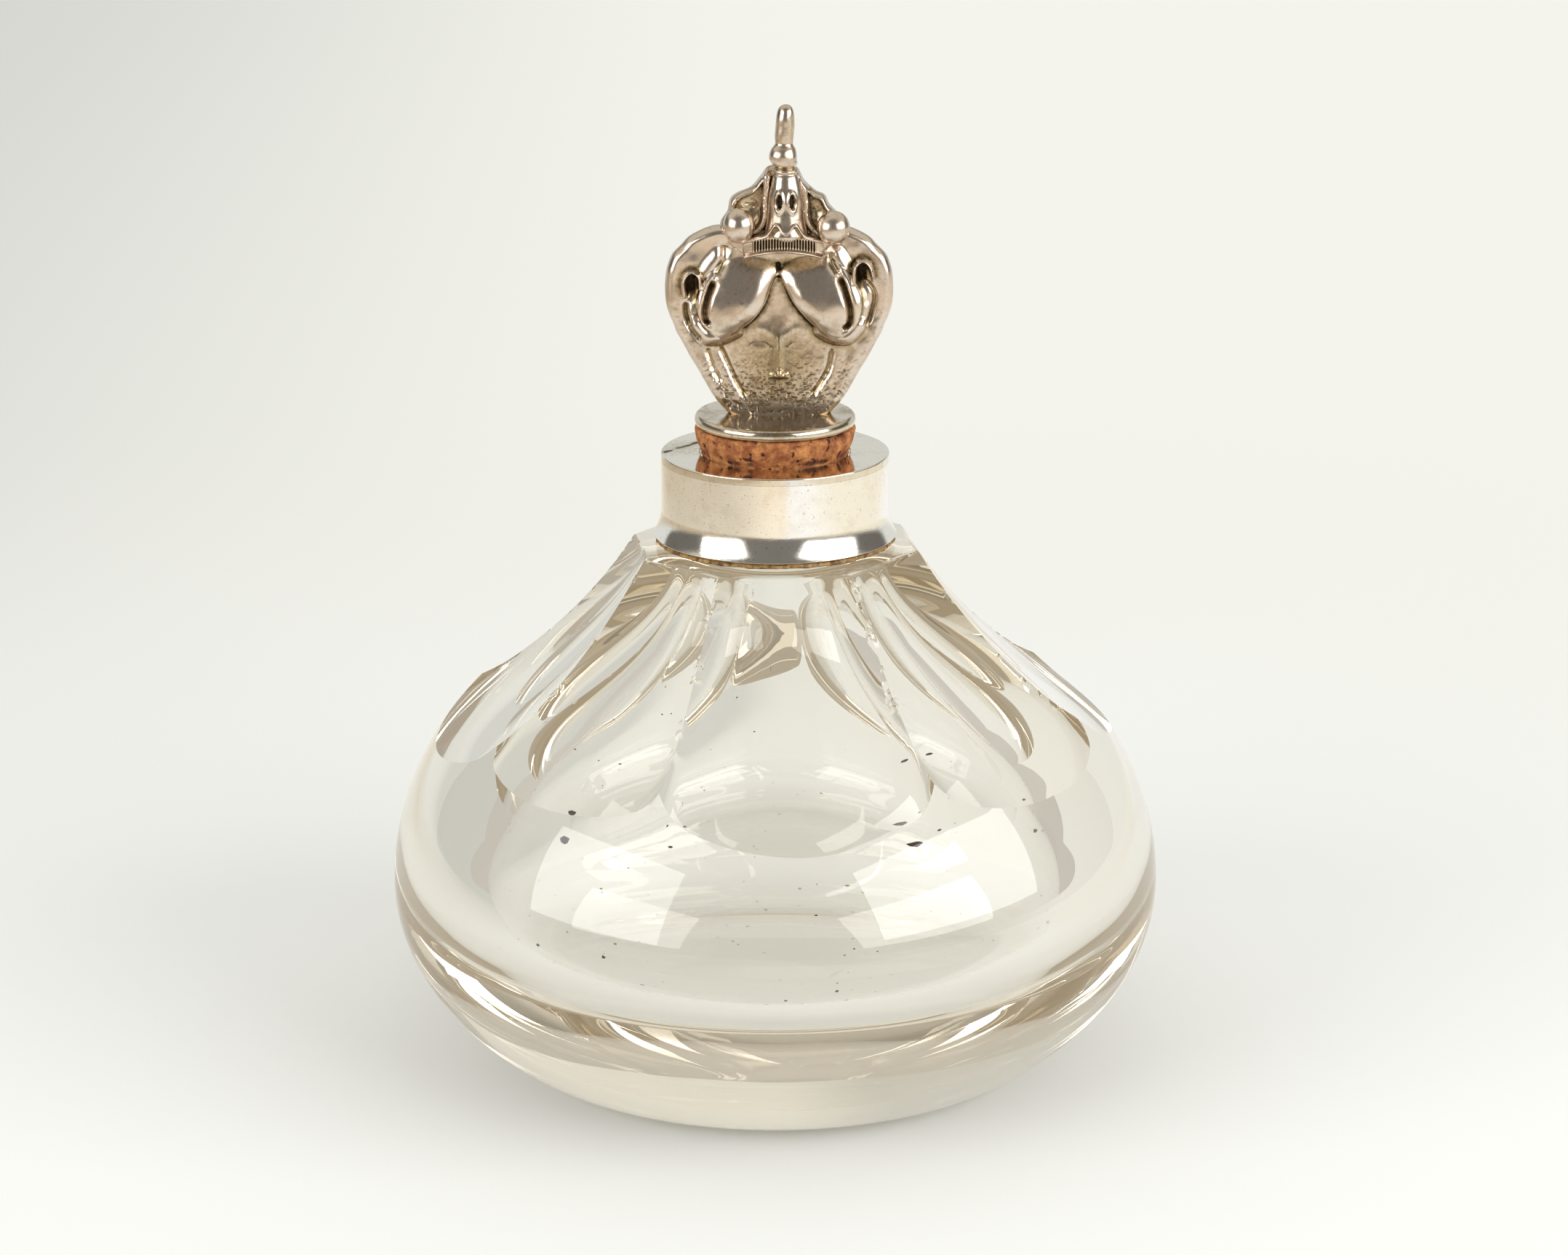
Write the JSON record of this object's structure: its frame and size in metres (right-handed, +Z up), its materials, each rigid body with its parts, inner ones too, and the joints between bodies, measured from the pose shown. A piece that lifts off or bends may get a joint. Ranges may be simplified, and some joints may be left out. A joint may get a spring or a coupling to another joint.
{
  "type": "scent bottle with cork stopper",
  "caption": "Squat thick-walled clear glass bottle with cut flutes, a silver collar and a cork stopper topped by a cast silver mask.",
  "frame": {"origin": "centre of the flat base, on the surface that the bottle stands on", "axes": "+Z up along the neck, -Y towards the front of the mask, +X to the right seen from the front"},
  "size_m": [0.105, 0.105, 0.1316],
  "materials": {
    "clear_crystal": "polished clear lead crystal",
    "polished_silver": "polished silver with fine scratches",
    "cast_silver": "worn cast silver with dark tarnish in its recesses",
    "aged_plaster": "matt, brown with age",
    "cork_bark": "matt natural cork, reddish brown with dark pits",
    "tarnished_brass": "dull tarnished brass"
  },
  "bodies": {
    "bottle": {"glass_bottle": "clear_crystal", "collar_sleeve": "polished_silver", "collar_top_plate": "polished_silver", "collar_cement": "aged_plaster"},
    "stopper": {"stopper_cork": "cork_bark", "stopper_disc": "cast_silver", "stopper_mask": "cast_silver", "stopper_tang": "tarnished_brass"}
  },
  "joints": [
    {"name": "stopper_lift", "type": "slide", "parent": "bottle", "child": "stopper", "axis": [0, 0, 1], "range_m": [0, 0.03]}
  ]
}
